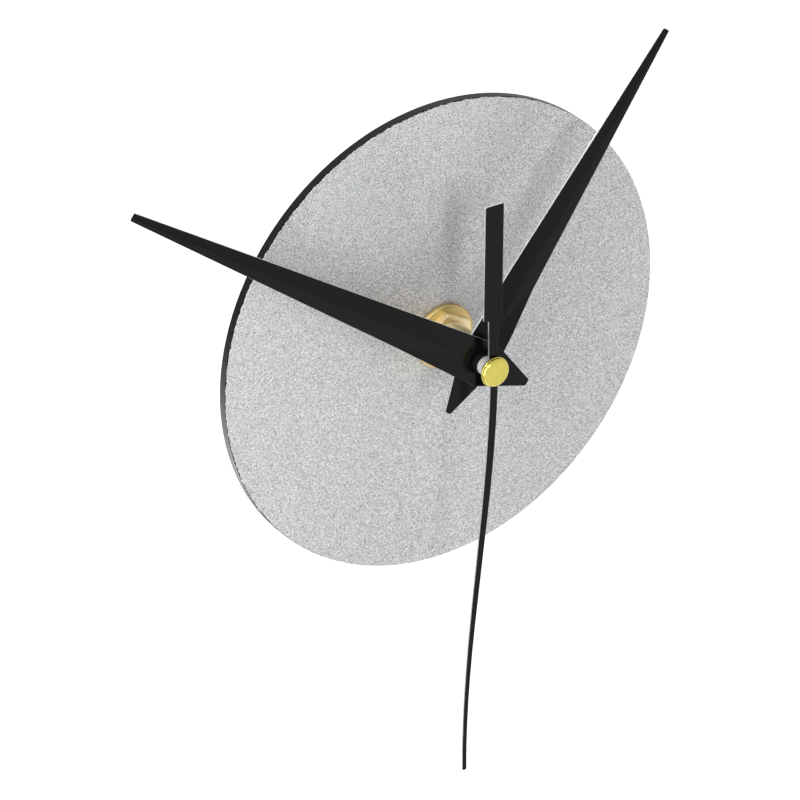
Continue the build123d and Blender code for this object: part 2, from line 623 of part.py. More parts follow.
cup_r = KNOB_R + PASS
cup_floor = KNOB_SUNK + KNOB_T + PASS
rear_cover = case_box(-CASE_WALL, 0, COVER_T) - slab(-inner, inner, inner_low, partition_low, 0, COVER_T)
rear_cover = rear_cover + rod(cup_r + CUP_WALL, 0, cup_floor + PLATE_T, axis_knob)
rear_cover = rear_cover - rod(cup_r, 0, cup_floor, axis_knob)
rear_cover = rear_cover - rod(KNOB_SHAFT_R + RUN, cup_floor, cup_floor + PLATE_T, axis_knob)
for at in (axis_c, axis_third, axis_step, axis_rotor):
    rear_cover = rear_cover + rod(BOSS_R, COVER_T, boss_top, at)
    rear_cover = rear_cover - rod(PIVOT_R + PIVOT_RUN, pivot_rear - SHAKE, boss_top, at)
board_mid = (board_z[0] + board_z[1]) / 2
pegs = [(axis_rotor[0], STATOR_LOW + STATOR_ARM_W / 2), (coil_x, stator_top - STATOR_ARM_W / 2),
        (board_x[0] + 2 * PEG_R, board_mid), (board_x[1] - 2 * PEG_R, board_mid)]
for at in pegs:
    rear_cover = rear_cover + rod(PEG_R, COVER_T, COVER_T + PEG_H, at)

# One screw at each post, through the rear cover and the middle plate into the front case
screw_seat = SCREW_SUNK + SCREW_HEAD_T
screw_end = plate_f[1] + SCREW_BITE
slot_f = (SCREW_SUNK, SCREW_SUNK + SCREW_HEAD_T / 2)
slot_len = 2 * SCREW_HEAD_R - 2 * SCREW_SLOT_W
screws = []
for at in posts:
    front_case = front_case + rod(POST_R, plate_f[1], front_in, at) - rod(SCREW_R, plate_f[1], screw_end, at)
    middle_plate = middle_plate - rod(SCREW_R + SLIP, *plate_f, at)
    rear_cover = rear_cover + rod(POST_R, COVER_T, plate_f[0], at) - rod(SCREW_R + SLIP, 0, plate_f[0], at)
    rear_cover = rear_cover - rod(SCREW_HEAD_R + SLIP, 0, screw_seat, at)
    screw = rod(SCREW_HEAD_R, SCREW_SUNK, screw_seat, at) + rod(SCREW_R, screw_seat, screw_end, at)
    cross = Rectangle(slot_len, SCREW_SLOT_W) + Rectangle(SCREW_SLOT_W, slot_len)
    screws.append(screw - prism(Pos(*at) * cross, *slot_f))
case_screws = Compound(children=screws)

# Hanger: a lug with a nail hole, held between the rear cover and the front case
lug_z = outer_top + HANGER_RISE - hanger_half
hanger = slab(-hanger_half, hanger_half, inner_top - HANGER_FOOT, lug_z, *hanger_f)
hanger = hanger + rod(hanger_half, *hanger_f, (0, lug_z)) - rod(HANGER_HOLE_R, *hanger_f, (0, lug_z))

# Setting knob: a ribbed thumb wheel in a cup at the back, with a pinion on the motion works
knob_f = (KNOB_SUNK, KNOB_SUNK + KNOB_T)
knob_module = 2 * KNOB_R / (KNOB_RIBS + 2 * ADDENDUM)
set_knob = gear(KNOB_RIBS, knob_module, 0, knob_f, axis_knob)
set_knob = set_knob + rod(KNOB_SHAFT_R, knob_f[1], cannon_f[1], axis_knob)
set_knob = set_knob + gear(KNOB_N, CANNON_M, turn_knob, cannon_f, axis_knob)

parts = {
    "dial_board": dial_board,
    "dial_film": dial_film,
    "rubber_washer": rubber_washer,
    "brass_washer": brass_washer,
    "hex_nut": hex_nut,
    "threaded_stem": threaded_stem,
    "hour_hand": hour_hand,
    "hour_collet": hour_collet,
    "minute_hand": minute_hand,
    "minute_collet": minute_collet,
    "second_hand": second_hand,
    "second_button": second_button,
    "minute_arbor": minute_arbor,
    "minute_works_wheel": minute_works_wheel,
    "hour_wheel": hour_wheel,
    "centre_wheel": centre_wheel,
    "clutch_spring": clutch_spring,
    "third_wheel": third_wheel,
    "second_wheel": second_wheel,
    "step_wheel": step_wheel,
    "rotor_pinion": rotor_pinion,
    "rotor_magnet": rotor_magnet,
    "stator": stator,
    "coil_core": coil_core,
    "coil_bobbin": coil_bobbin,
    "coil_winding": coil_winding,
    "circuit_board": circuit_board,
    "chip": chip,
    "crystal": crystal,
    "battery": battery,
    "contact_plus": contact_plus,
    "contact_minus": contact_minus,
    "front_case": front_case,
    "middle_plate": middle_plate,
    "rear_cover": rear_cover,
    "case_screws": case_screws,
    "hanger": hanger,
    "set_knob": set_knob,
}

os.makedirs("parts", exist_ok=True)
for name, shape in parts.items():
    export_step(shape, "parts/" + name + ".step")
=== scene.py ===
import json
import math
from typing import NamedTuple

import bmesh
import bpy
from bpy.props import FloatProperty, FloatVectorProperty, IntProperty, PointerProperty
from mathutils import Matrix, Vector, noise

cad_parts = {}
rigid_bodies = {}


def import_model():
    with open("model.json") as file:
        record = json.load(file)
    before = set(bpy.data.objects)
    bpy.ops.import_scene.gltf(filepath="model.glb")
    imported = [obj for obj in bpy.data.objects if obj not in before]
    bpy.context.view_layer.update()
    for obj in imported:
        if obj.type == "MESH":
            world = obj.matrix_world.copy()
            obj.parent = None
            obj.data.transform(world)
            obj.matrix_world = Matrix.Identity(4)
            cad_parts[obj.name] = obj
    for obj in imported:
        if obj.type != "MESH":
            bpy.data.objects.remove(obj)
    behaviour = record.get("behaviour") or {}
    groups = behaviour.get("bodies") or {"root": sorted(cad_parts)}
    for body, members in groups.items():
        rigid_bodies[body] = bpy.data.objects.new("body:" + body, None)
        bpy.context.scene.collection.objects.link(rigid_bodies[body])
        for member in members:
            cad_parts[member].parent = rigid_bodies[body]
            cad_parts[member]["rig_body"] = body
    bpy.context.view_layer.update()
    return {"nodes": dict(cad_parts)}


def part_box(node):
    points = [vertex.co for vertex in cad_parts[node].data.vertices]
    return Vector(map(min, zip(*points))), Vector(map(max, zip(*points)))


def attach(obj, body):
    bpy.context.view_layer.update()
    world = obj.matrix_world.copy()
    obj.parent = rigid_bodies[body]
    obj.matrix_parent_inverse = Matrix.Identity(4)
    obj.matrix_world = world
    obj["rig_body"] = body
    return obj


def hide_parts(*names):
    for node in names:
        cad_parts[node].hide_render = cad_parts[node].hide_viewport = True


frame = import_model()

bl_info = {
    "name": "Frameless Wall Clock",
    "version": (1, 0, 0),
    "blender": (4, 5, 0),
    "location": "View3D > Sidebar > Wall Clock",
    "description": "Dresses the packed wall clock with its finishes and fine pieces, and sets up its studio",
    "category": "Object",
}

# Frame: metres, x to the right, z up, the clock faces -y and its hands turn about the y axis
NODES = frame["nodes"]
MM = 0.001
FACE_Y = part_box("dial_film")[0].y


def linear(code):
    """An sRGB hex colour as linear RGBA."""
    parts = [int(code[i:i + 2], 16) / 255 for i in (1, 3, 5)]
    return (*[c / 12.92 if c <= 0.04045 else ((c + 0.055) / 1.055) ** 2.4 for c in parts], 1.0)


def length(name, description, default_mm):
    """A length property whose default is written in millimetres."""
    return FloatProperty(name=name, description=description, default=default_mm * MM, min=0.0, precision=5,
                         unit="LENGTH")


def angle(name, description, default_deg):
    """An angle property whose default is written in degrees."""
    return FloatProperty(name=name, description=description, default=math.radians(default_deg),
                         subtype="ANGLE", unit="ROTATION")


def amount(name, description, default, unit="NONE"):
    """A plain number, or a power in watts."""
    return FloatProperty(name=name, description=description, default=default, min=0.0, unit=unit)


def colour(name, description, code):
    """A colour property whose default is an sRGB hex value."""
    return FloatVectorProperty(name=name, description=description, subtype="COLOR", size=4, min=0.0, max=1.0,
                               default=linear(code))


class ClockSizes(bpy.types.PropertyGroup):
    """Sizes of the pieces that are modelled here"""

    tear: length("Tear", "How far the film's torn edge draws back where it is torn most", 0.18)
    tear_side: angle("Tear side", "Where the edge is torn most, counter-clockwise from +x", 140.0)
    tear_size: length("Tear size", "Length of the nicks in the film's edge", 0.9)
    tear_detail: amount("Tear detail", "How many times smaller the finest nicks are", 2.7)
    tear_even: amount("Tear evenness", "Share of the tear that is the same all round", 0.4)
    film_steps: IntProperty(name="Film steps", description="Points round the film's edge", default=1440,
                            min=60)
    turned_steps: IntProperty(name="Turned steps", description="Steps round a turned piece", default=96,
                              min=12)
    stem_room: length("Stem room", "Room between the stem and the holes round it", 0.16)
    washer_r: length("Washer radius", "Outer radius of the washer", 6.75)
    washer_play: length("Washer play", "How far the washer has dropped on the stem", 0.12)
    washer_edge: length("Washer edge", "Rounding of the washer's edge", 0.6)
    nut_edge: length("Nut edge", "Rounding of the nut's edges", 0.45)
    thread_r: length("Thread radius", "Outer radius of the stem's thread", 4.0)
    thread_pitch: length("Thread pitch", "Pitch of the stem's fine thread", 0.75)
    thread_depth: length("Thread depth", "Depth of the stem's thread", 0.4)
    thread_root: length("Thread root", "Width of the thread's tooth at its root", 0.63)
    thread_crest: length("Thread crest", "Width of the thread's tooth at its crest", 0.12)
    stem_bore: length("Stem bore", "Inner radius of the stem", 2.75)
    stem_flange: length("Stem flange", "Thickness of the flange inside the case", 1.3)
    cap_r: length("Cap radius", "Radius of the button's cap", 3.0)
    cap_edge: length("Cap edge", "Rounding of the button's cap", 0.5)
    cap_t: length("Cap height", "Height of the button's cap over its bead", 0.68)
    bead_edge: length("Bead edge", "Rounding of the bead round the button", 0.12)
    bead_t: length("Bead height", "Height of the bead round the button", 0.32)
    button_foot_r: length("Button foot", "Radius of the button where it meets the hand", 2.7)
    button_tube_r: length("Button tube", "Radius of the button's tube", 1.6)
    button_t: length("Button height", "Height of the button over the hand", 1.3)
    hand_hub: length("Hand hub", "Corners of a hand that lie nearer to the axis stay sharp", 8.0)
    hand_corner: length("Hand corner", "Radius of the corners at a hand's ends", 0.35)
    crease_least: length("Least crease", "Bends of a hand that are shorter aren't its crease", 20.0)
    hand_crease: length("Hand crease", "Rounding of the crease of a hand", 0.3)
    hand_edge: length("Hand edge", "Rounding of a hand's stamped edge", 0.05)
    case_edge: length("Case edge", "Rounding of the moulded edges at the back", 0.25)
    case_flat: length("Case flat", "Side of the smallest flat of the case", 8.0)
    cell_band: length("Cell band", "Width of the pale band of the cell's sleeve", 13.0)
    cell_end: length("Cell end", "Width of the bare steel at the cell's ends", 1.6)
    mark: length("Mark", "Size of the plus and minus marks", 2.4)
    mark_line: length("Mark line", "Width of the marks' lines", 0.5)
    mark_raised: length("Mark height", "How far the marks stand off the cover", 0.15)
    mark_apart: length("Mark place", "From the middle of the cell to each mark", 14.0)
    mark_above: length("Mark level", "How far the marks are above the cell", 3.0)


class ClockColours(bpy.types.PropertyGroup):
    """Colours of the finishes"""

    film: colour("Film", "Silver flake film on the face", "#BFC0C1")
    board: colour("Board", "Cut edge and back of the black board", "#0C0C0D")
    brass: colour("Brass", "Washer and collets", "#CCB67C")
    nut: colour("Nut", "Bright brass of the nut and the stem", "#F2E2B4")
    button: colour("Button", "Pale brass button on the second hand", "#C9BD60")
    satin: colour("Satin lacquer", "Black lacquer of the hour hand", "#1B1B1C")
    gloss: colour("Gloss lacquer", "Black lacquer of the minute and second hands", "#0A0A0B")
    # The two edge tones are painted light: bare is the blades' cut metal lit up as a painted highlight, dull
    # the edges of the tails and the needle darkened as painted shade
    bare: colour("Bare metal", "Aluminium at the stamped edges of the hands", "#D2D4D6")
    dull: colour("Dull metal", "Aluminium at the edges of the tails and the needle", "#969799")
    # Acetal is white; this grey tone is painted shade, for the shade the button and the hand cast on the
    # arbor
    acetal: colour("Acetal", "White arbors and wheels", "#BAB8B2")
    case: colour("Case", "Black moulded case", "#161618")
    nickel: colour("Nickel", "Plated steel pieces", "#BDBAB3")
    sleeve: colour("Sleeve", "Plain sleeve of the cell", "#4A6A86")
    rubber: colour("Rubber", "Washer behind the disc", "#19191A")
    epoxy: colour("Epoxy", "Drop of epoxy over the chip", "#0C0C0D")
    magnet: colour("Magnet", "Sintered magnet of the rotor", "#3A3A3C")


class StudioSetup(bpy.types.PropertyGroup):
    """Camera, lamps and floor"""

    azimuth: angle("Azimuth", "Direction of the camera round the clock", -33.571)
    elevation: angle("Elevation", "Height of the camera above the horizon", 28.865)
    distance: length("Distance", "From the camera to the face", 1600.0)
    across: length("Across", "How far the face's centre lies to the right of the aim", 8.045)
    above: length("Above", "How far the face's centre lies above the aim", 12.99)
    lens: amount("Lens", "Focal length in millimetres", 368.06)
    sensor: amount("Sensor", "Width of the camera's sensor in millimetres", 36.0)
    floor_drop: length("Floor", "How far the floor is below the axis", 600.0)
    floor_half: length("Floor size", "Half the side of the floor", 30000.0)
    paper: colour("Paper", "White paper on the floor", "#EBEBEB")
    glow: amount("Glow", "How much the paper is lifted where it is seen", 0.72)
    sky: amount("Sky", "Light from all round", 0.34)
    key: amount("Key", "Power of the soft lamp in front", 7.0, "POWER")
    side: amount("Side", "Power of the soft lamp close by at the left", 2.0, "POWER")
    glint: amount("Glint", "Power of the narrow lamp at the upper left", 0.55, "POWER")
    rim: amount("Rim", "Power of the low lamp behind, at the left", 3.0, "POWER")
    back: amount("Back", "Power of the large soft lamp behind", 5.0, "POWER")


class SoftLamp(NamedTuple):
    """Where a lamp stands, in degrees and metres; its power is the studio property of the same name"""

    name: str
    azimuth: float
    elevation: float
    distance: float
    width: float
    height: float


LAMPS = (
    SoftLamp("key", azimuth=-8.0, elevation=15.0, distance=1.6, width=0.34, height=0.6),
    SoftLamp("side", azimuth=-74.0, elevation=16.0, distance=0.34, width=0.4, height=0.5),
    SoftLamp("glint", azimuth=-60.0, elevation=26.0, distance=0.55, width=0.1, height=0.36),
    SoftLamp("rim", azimuth=-158.0, elevation=-36.0, distance=0.8, width=0.5, height=0.5),
    SoftLamp("back", azimuth=180.0, elevation=25.0, distance=1.0, width=1.4, height=1.4),
)


# Materials

WAVES = 20.0 / (2 * math.pi)        # waves of Blender's wave texture in one unit, at a scale of 1
SHARE, FIRST, SECOND = 0, 6, 7      # inputs of a Mix node for colours, by number as their names aren't unique
MIXED = 2                           # and its output


def add(tree, kind, inputs=None, **settings):
    """Adds a node with its settings; each input is a value, or a socket to link from."""
    node = tree.nodes.new(kind)
    for key, value in settings.items():
        setattr(node, key, value)
    for key, value in (inputs or {}).items():
        if isinstance(value, bpy.types.NodeSocket):
            tree.links.new(value, node.inputs[key])
        else:
            node.inputs[key].default_value = value
    return node


def finish_of(name, shader):
    """A new material with a Principled shader, and its tree, shader and Object coordinates."""
    material = bpy.data.materials.new(name)
    material.use_nodes = True
    tree = material.node_tree
    tree.nodes.clear()
    surface = add(tree, "ShaderNodeBsdfPrincipled", shader)
    add(tree, "ShaderNodeOutputMaterial", {"Surface": surface.outputs["BSDF"]})
    place = add(tree, "ShaderNodeTexCoord").outputs["Object"]
    return material, tree, surface, place


def per_mm(size):
    """Texture scale that gives a pattern of this size in millimetres."""
    return 1 / (size * MM)


def silver_flake_film(tones):
    # Polyester film with fine aluminium flakes: each flake lies and shines its own way, so the face sparkles
    # grain by grain, and mirrors what is near in a soft blur
    material, tree, surface, place = finish_of("silver_flake_film", {"Metallic": 0.26, "Roughness": 0.34})
    # Real flakes are about 0.05 mm; they are drawn 0.11 mm wide, so that they show in the picture
    flake = add(tree, "ShaderNodeTexVoronoi", {"Vector": place, "Scale": per_mm(0.11)})
    grain = add(tree, "ShaderNodeSeparateColor", {"Color": flake.outputs["Color"]})
    shade = add(tree, "ShaderNodeMapRange", {"Value": grain.outputs["Red"], "From Min": 0.1, "From Max": 0.9,
                                             "To Min": 0.35, "To Max": 1.65})
    # A faint rainbow on single flakes, and in soft clouds
    cloud = add(tree, "ShaderNodeTexNoise", {"Vector": place, "Scale": per_mm(6.0), "Detail": 2.0})
    tint = add(tree, "ShaderNodeMix", {SHARE: 0.04, FIRST: tones.film, SECOND: flake.outputs["Color"]},
               data_type="RGBA")
    bloom = add(tree, "ShaderNodeMix", {SHARE: 0.04, FIRST: tint.outputs[MIXED],
                                        SECOND: cloud.outputs["Color"]}, data_type="RGBA")
    skin = add(tree, "ShaderNodeHueSaturation", {"Color": bloom.outputs[MIXED],
                                                 "Value": shade.outputs["Result"]})
    tree.links.new(skin.outputs["Color"], surface.inputs["Base Color"])
    # Each flake's own random colour, taken about its middle, also says which way the flake leans
    tilt = add(tree, "ShaderNodeVectorMath", {0: flake.outputs["Color"], 1: (0.5, 0.5, 0.5)},
               operation="SUBTRACT")
    facing = add(tree, "ShaderNodeNewGeometry")
    leaning = add(tree, "ShaderNodeVectorMath", {0: tilt.outputs["Vector"], 1: (0.25, 0.25, 0.25),
                                                 2: facing.outputs["Normal"]}, operation="MULTIPLY_ADD")
    level = add(tree, "ShaderNodeVectorMath", {0: leaning.outputs["Vector"]}, operation="NORMALIZE")
    tree.links.new(level.outputs["Vector"], surface.inputs["Normal"])
    return material


def cut_black_board(tones):
    # Black hard-foam board, routed to shape: a dull skin, and a rim with fine cutter marks
    material, tree, surface, place = finish_of("cut_black_board", {"Roughness": 0.3,
                                                                   "Specular IOR Level": 0.075})
    mark = add(tree, "ShaderNodeTexNoise", {"Vector": place, "Scale": per_mm(0.4), "Detail": 3.0})
    tone = add(tree, "ShaderNodeMapRange", {"Value": mark.outputs["Fac"], "To Min": 0.5, "To Max": 1.7})
    skin = add(tree, "ShaderNodeHueSaturation", {"Color": tones.board, "Value": tone.outputs["Result"]})
    tree.links.new(skin.outputs["Color"], surface.inputs["Base Color"])
    bump = add(tree, "ShaderNodeBump", {"Height": mark.outputs["Fac"], "Distance": 0.04 * MM,
                                        "Strength": 0.5})
    tree.links.new(bump.outputs["Normal"], surface.inputs["Normal"])
    return material


def turned_metal(name, tone, rough, groove):
    # Turned and plated brass: fine rings round the axis, a little tarnish, and a soft polish
    # Rough is its middle roughness, groove the width of its rings in millimetres; real ones are about 0.1 mm
    # wide, and they are drawn as broad soft rings, so that they show
    material, tree, surface, place = finish_of(name, {"Metallic": 1.0})
    dull = add(tree, "ShaderNodeTexNoise", {"Vector": place, "Scale": per_mm(2.5), "Detail": 3.0})
    tone_range = add(tree, "ShaderNodeMapRange", {"Value": dull.outputs["Fac"], "To Min": 0.86,
                                                  "To Max": 1.1})
    skin = add(tree, "ShaderNodeHueSaturation", {"Color": tone, "Value": tone_range.outputs["Result"]})
    tree.links.new(skin.outputs["Color"], surface.inputs["Base Color"])
    gloss = add(tree, "ShaderNodeMapRange", {"Value": dull.outputs["Fac"], "To Min": rough * 0.7,
                                             "To Max": rough * 1.4})
    tree.links.new(gloss.outputs["Result"], surface.inputs["Roughness"])
    rings = add(tree, "ShaderNodeTexWave", {"Vector": place, "Scale": per_mm(groove) / WAVES,
                                            "Distortion": 0.6, "Detail": 2.0},
                wave_type="RINGS", rings_direction="Y")
    bump = add(tree, "ShaderNodeBump", {"Height": rings.outputs["Fac"], "Distance": 0.01 * MM,
                                        "Strength": 0.25})
    tree.links.new(bump.outputs["Normal"], surface.inputs["Normal"])
    return material


def black_lacquer(name, tones, tone, shine):
    # Lacquered aluminium sheet: a dark soft gloss on the face, and painted light on the cut edges: bare metal
    # on the blades' edges, painted lighter as a highlight, and a dull grey on those of the tails and the
    # needle, below the hub, painted darker as shade
    # Shine is the strength of its mirror gloss
    material, tree, surface, place = finish_of(name, {"Specular IOR Level": shine})
    coords = tree.nodes["Texture Coordinate"]
    side = add(tree, "ShaderNodeSeparateXYZ", {"Vector": coords.outputs["Normal"]})
    upright = add(tree, "ShaderNodeMath", {0: side.outputs["Y"]}, operation="ABSOLUTE")
    edge = add(tree, "ShaderNodeMath", {0: upright.outputs["Value"], 1: 0.5}, operation="LESS_THAN")
    level = add(tree, "ShaderNodeSeparateXYZ", {"Vector": place})
    blade = add(tree, "ShaderNodeMath", {0: level.outputs["Z"], 1: 0.0}, operation="GREATER_THAN")
    cut = add(tree, "ShaderNodeMath", {0: edge.outputs["Value"], 1: blade.outputs["Value"]},
              operation="MULTIPLY")
    # Painted light: edges above the hub take the bright tone as a painted highlight, edges below it the dull
    # tone as painted shade
    rim = add(tree, "ShaderNodeMix", {SHARE: blade.outputs["Value"], FIRST: tones.dull, SECOND: tones.bare},
              data_type="RGBA")
    skin = add(tree, "ShaderNodeMix", {SHARE: edge.outputs["Value"], FIRST: tone,
                                       SECOND: rim.outputs[MIXED]}, data_type="RGBA")
    tree.links.new(skin.outputs[MIXED], surface.inputs["Base Color"])
    tree.links.new(cut.outputs["Value"], surface.inputs["Metallic"])
    haze = add(tree, "ShaderNodeTexNoise", {"Vector": place, "Scale": per_mm(3.0), "Detail": 3.0})
    gloss = add(tree, "ShaderNodeMapRange", {"Value": haze.outputs["Fac"], "To Min": 0.13, "To Max": 0.22})
    dull = add(tree, "ShaderNodeMapRange", {"Value": cut.outputs["Value"], "To Min": gloss.outputs["Result"],
                                            "To Max": 0.45})
    tree.links.new(dull.outputs["Result"], surface.inputs["Roughness"])
    peel = add(tree, "ShaderNodeTexNoise", {"Vector": place, "Scale": per_mm(0.7), "Detail": 2.0})
    bump = add(tree, "ShaderNodeBump", {"Height": peel.outputs["Fac"], "Distance": 0.02 * MM,
                                        "Strength": 0.15})
    tree.links.new(bump.outputs["Normal"], surface.inputs["Normal"])
    return material


def moulded(name, tone, rough, grain, depth, spread):
    # Plastic, rubber or another moulded stuff: the grain of the mould gives it a soft broken gloss
    # Grain and depth are the mould's texture in millimetres, spread the drift of its tone
    material, tree, surface, place = finish_of(name, {})
    spark = add(tree, "ShaderNodeTexNoise", {"Vector": place, "Scale": per_mm(grain), "Detail": 3.0})
    drift = add(tree, "ShaderNodeTexNoise", {"Vector": place, "Scale": per_mm(9.0), "Detail": 2.0})
    tone_range = add(tree, "ShaderNodeMapRange", {"Value": drift.outputs["Fac"], "To Min": 1 - spread,
                                                  "To Max": 1 + spread})
    skin = add(tree, "ShaderNodeHueSaturation", {"Color": tone, "Value": tone_range.outputs["Result"]})
    tree.links.new(skin.outputs["Color"], surface.inputs["Base Color"])
    gloss = add(tree, "ShaderNodeMapRange", {"Value": spark.outputs["Fac"], "To Min": rough * 0.8,
                                             "To Max": rough * 1.2})
    tree.links.new(gloss.outputs["Result"], surface.inputs["Roughness"])
    bump = add(tree, "ShaderNodeBump", {"Height": spark.outputs["Fac"], "Distance": depth * MM,
                                        "Strength": 0.5})
    tree.links.new(bump.outputs["Normal"], surface.inputs["Normal"])
    return material


def plated_steel(tones):
    # Nickel-plated strip: a cool bright metal with faint rolling lines
    material, tree, surface, place = finish_of("nickel_plated_steel", {"Metallic": 1.0})
    rolled = add(tree, "ShaderNodeMapping", {"Vector": place, "Scale": (1.0, 1.0, 0.06)})
    line = add(tree, "ShaderNodeTexNoise", {"Vector": rolled.outputs["Vector"], "Scale": per_mm(0.3),
                                            "Detail": 3.0})
    tone = add(tree, "ShaderNodeMapRange", {"Value": line.outputs["Fac"], "To Min": 0.85, "To Max": 1.1})
    skin = add(tree, "ShaderNodeHueSaturation", {"Color": tones.nickel, "Value": tone.outputs["Result"]})
    tree.links.new(skin.outputs["Color"], surface.inputs["Base Color"])
    gloss = add(tree, "ShaderNodeMapRange", {"Value": line.outputs["Fac"], "To Min": 0.2, "To Max": 0.38})
    tree.links.new(gloss.outputs["Result"], surface.inputs["Roughness"])
    return material


def wound_wire():
    # Enamelled copper wire, wound in close turns, with a painted warm highlight along each wire and painted
    # shade between them
    material, tree, surface, place = finish_of("enamelled_copper_wire", {"Metallic": 1.0, "Roughness": 0.3})
    # The wire is about 0.05 mm thick; its turns are drawn 1.257 mm apart, so that they show
    turns_and_glint = add(tree, "ShaderNodeTexWave", {"Vector": place, "Scale": per_mm(1.257) / WAVES,
                                           "Distortion": 0.3},
               bands_direction="Z")
    # Pale copper is a painted highlight on each wire, dark copper painted shade between the wires
    skin = add(tree, "ShaderNodeMix", {SHARE: turns_and_glint.outputs["Fac"], FIRST: linear("#7A3B1C"),
                                       SECOND: linear("#C9783F")}, data_type="RGBA")
    tree.links.new(skin.outputs[MIXED], surface.inputs["Base Color"])
    bump = add(tree, "ShaderNodeBump", {"Height": turns_and_glint.outputs["Fac"], "Distance": 0.05 * MM})
    tree.links.new(bump.outputs["Normal"], surface.inputs["Normal"])
    return material


def printed_board():
    # Paper-phenolic board with a green mask: tracks show through as paler bands
    material, tree, surface, place = finish_of("phenolic_circuit_board", {"Roughness": 0.35})
    tracks = add(tree, "ShaderNodeTexBrick", {"Vector": place, "Color1": linear("#2C5A36"),
                                              "Color2": linear("#2F6340"), "Mortar": linear("#5B8A55"),
                                              "Scale": per_mm(2.0), "Mortar Size": 0.04})
    tree.links.new(tracks.outputs["Color"], surface.inputs["Base Color"])
    weave = add(tree, "ShaderNodeTexNoise", {"Vector": place, "Scale": per_mm(0.5), "Detail": 2.0})
    bump = add(tree, "ShaderNodeBump", {"Height": weave.outputs["Fac"], "Distance": 0.02 * MM,
                                        "Strength": 0.4})
    tree.links.new(bump.outputs["Normal"], surface.inputs["Normal"])
    return material


def cell_sleeve(tones, sizes):
    # Printed steel can of an ordinary cell: a plain sleeve with a pale band, and bare steel at the ends
    material, tree, surface, place = finish_of("sleeved_steel_cell", {"Roughness": 0.28})
    low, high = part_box("battery")
    along = add(tree, "ShaderNodeSeparateXYZ", {"Vector": place})
    band = add(tree, "ShaderNodeMath", {0: along.outputs["X"], 1: high.x - sizes.cell_band},
               operation="GREATER_THAN")
    sleeve = add(tree, "ShaderNodeMix", {SHARE: band.outputs["Value"], FIRST: tones.sleeve,
                                         SECOND: linear("#D9D9D4")}, data_type="RGBA")
    middle = add(tree, "ShaderNodeMath", {0: along.outputs["X"], 1: (low.x + high.x) / 2},
                 operation="SUBTRACT")
    reach = add(tree, "ShaderNodeMath", {0: middle.outputs["Value"]}, operation="ABSOLUTE")
    ends = add(tree, "ShaderNodeMath", {0: reach.outputs["Value"], 1: (high.x - low.x) / 2 - sizes.cell_end},
               operation="GREATER_THAN")
    scuff = add(tree, "ShaderNodeTexNoise", {"Vector": place, "Scale": per_mm(4.0), "Detail": 4.0})
    worn = add(tree, "ShaderNodeMapRange", {"Value": scuff.outputs["Fac"], "To Min": 0.9, "To Max": 1.08})
    skin = add(tree, "ShaderNodeMix", {SHARE: ends.outputs["Value"], FIRST: sleeve.outputs[MIXED],
                                       SECOND: tones.nickel}, data_type="RGBA")
    toned = add(tree, "ShaderNodeHueSaturation", {"Color": skin.outputs[MIXED],
                                                  "Value": worn.outputs["Result"]})
    tree.links.new(toned.outputs["Color"], surface.inputs["Base Color"])
    tree.links.new(ends.outputs["Value"], surface.inputs["Metallic"])
    return material


def finishes(context):
    """The clock's materials by name, made once."""
    made = context.scene.get("clock_finishes")
    if made:
        return {key: bpy.data.materials[name] for key, name in made.items()}
    tones = context.scene.clock_colours
    kit = {
        "film": silver_flake_film(tones),
        "board": cut_black_board(tones),
        "brass": turned_metal("plated_brass", tones.brass, rough=0.45, groove=1.571),
        "nut": turned_metal("bright_brass", tones.nut, rough=0.45, groove=2.513),
        "button": turned_metal("pale_polished_brass", tones.button, rough=0.1, groove=1.885),
        "satin": black_lacquer("satin_lacquered_aluminium", tones, tones.satin, shine=0.05),
        "gloss": black_lacquer("gloss_lacquered_aluminium", tones, tones.gloss, shine=0.125),
        # White acetal with a greyed tone that is painted shade
        "acetal": moulded("white_acetal", tones.acetal, rough=0.4, grain=0.6, depth=0.01, spread=0.03),
        "case": moulded("black_textured_abs", tones.case, rough=0.48, grain=0.3, depth=0.05, spread=0.12),
        "rubber": moulded("black_rubber", tones.rubber, rough=0.8, grain=0.4, depth=0.06, spread=0.15),
        "nickel": plated_steel(tones),
        "wire": wound_wire(),
        "circuit": printed_board(),
        "epoxy": moulded("black_epoxy", tones.epoxy, rough=0.18, grain=1.5, depth=0.02, spread=0.2),
        "magnet": moulded("sintered_ferrite", tones.magnet, rough=0.6, grain=0.2, depth=0.03, spread=0.2),
        "cell": cell_sleeve(tones, context.scene.clock_sizes),
    }
    context.scene["clock_finishes"] = {key: material.name for key, material in kit.items()}
    return kit


def wear(node, material):
    """Gives a CAD node its finish."""
    slots = NODES[node].data.materials
    slots.clear()
    slots.append(material)


# Shapes

TOUCH = 1e-6            # corners within a thousandth of a millimetre are the same
FLAT_DEG = 0.5          # faces that bend by less are one flat
ROUND_DEG = 30.0        # facets that bend by less belong to one round
FACET_DEG = 25.0        # edges of the nut
CORNER_DEG = 40.0       # corners of a hand's outline
SHARP_DEG = 60.0        # sharp edges of a stamped, turned or moulded piece
SHADE_DEG = 35.0        # a turned piece is shaded smooth up to this bend
CREASE_DEG = 5.0        # a hand's crease bends by this at least
UPRIGHT = 0.99          # how well an edge lines up with the axis, to run through the sheet


